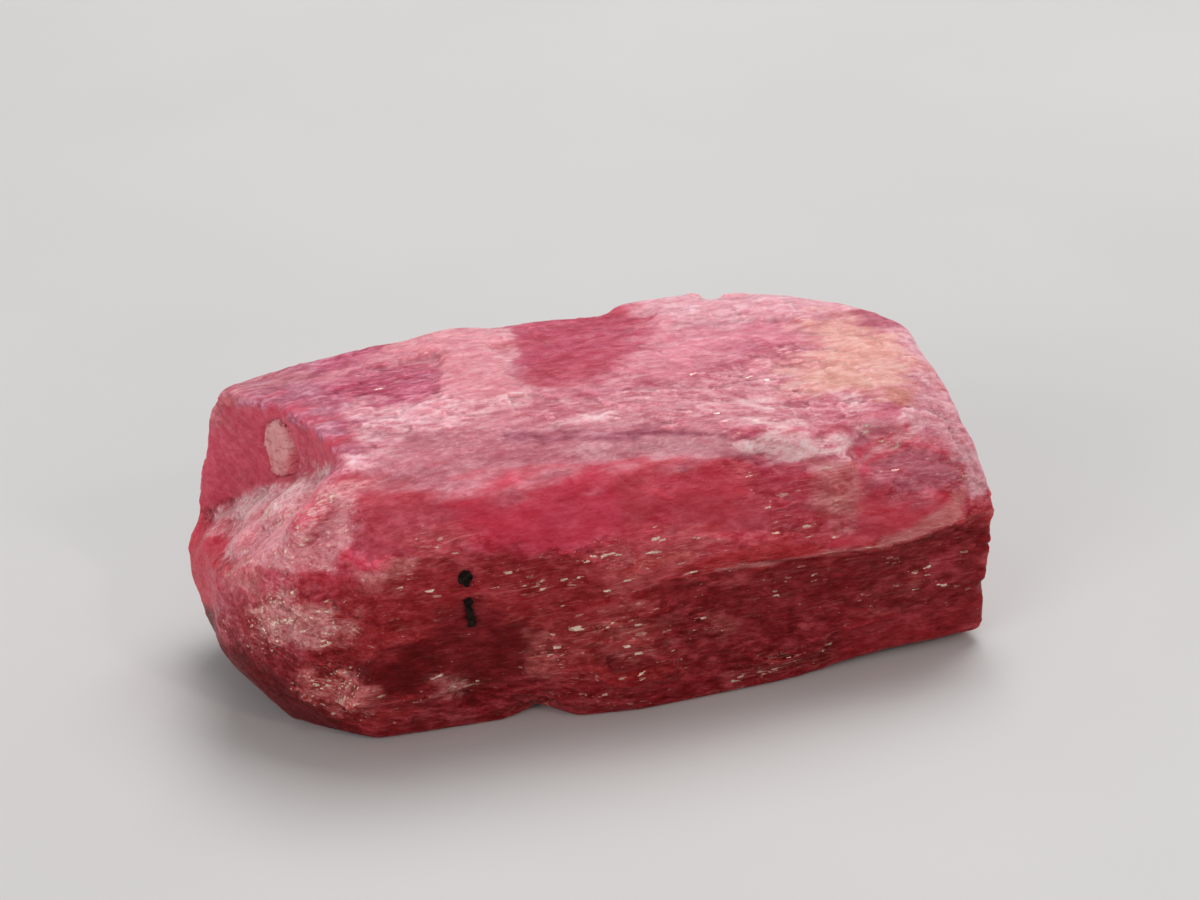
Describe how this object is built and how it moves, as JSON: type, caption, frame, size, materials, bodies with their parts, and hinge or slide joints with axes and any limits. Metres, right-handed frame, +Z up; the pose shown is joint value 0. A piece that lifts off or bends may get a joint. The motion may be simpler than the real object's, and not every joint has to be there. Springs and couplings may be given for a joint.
{
  "type": "rhodochrosite crystal",
  "caption": "Elongated cleaved pink-red crystal with splintery faces, a smooth shell-like break at one end and small grains of other minerals set in it; rests on a flat base.",
  "frame": {"origin": "under the middle of the crystal's box, on the surface that it rests on", "axes": "+X along the crystal's long axis, along which it splits, towards its flat broken end; +Z up; the front face looks along -Y"},
  "size_m": [0.025, 0.0122, 0.0096],
  "materials": {
    "rhodochrosite": "glassy to pearly, splintery, slightly translucent",
    "pale_calcite": "waxy, translucent",
    "dark_oxide": "dull black"
  },
  "bodies": {
    "root": {"rhodochrosite_crystal": "rhodochrosite", "pale_grain": "pale_calcite", "dark_grain_upper": "dark_oxide", "dark_grain_lower": "dark_oxide"}
  },
  "joints": []
}
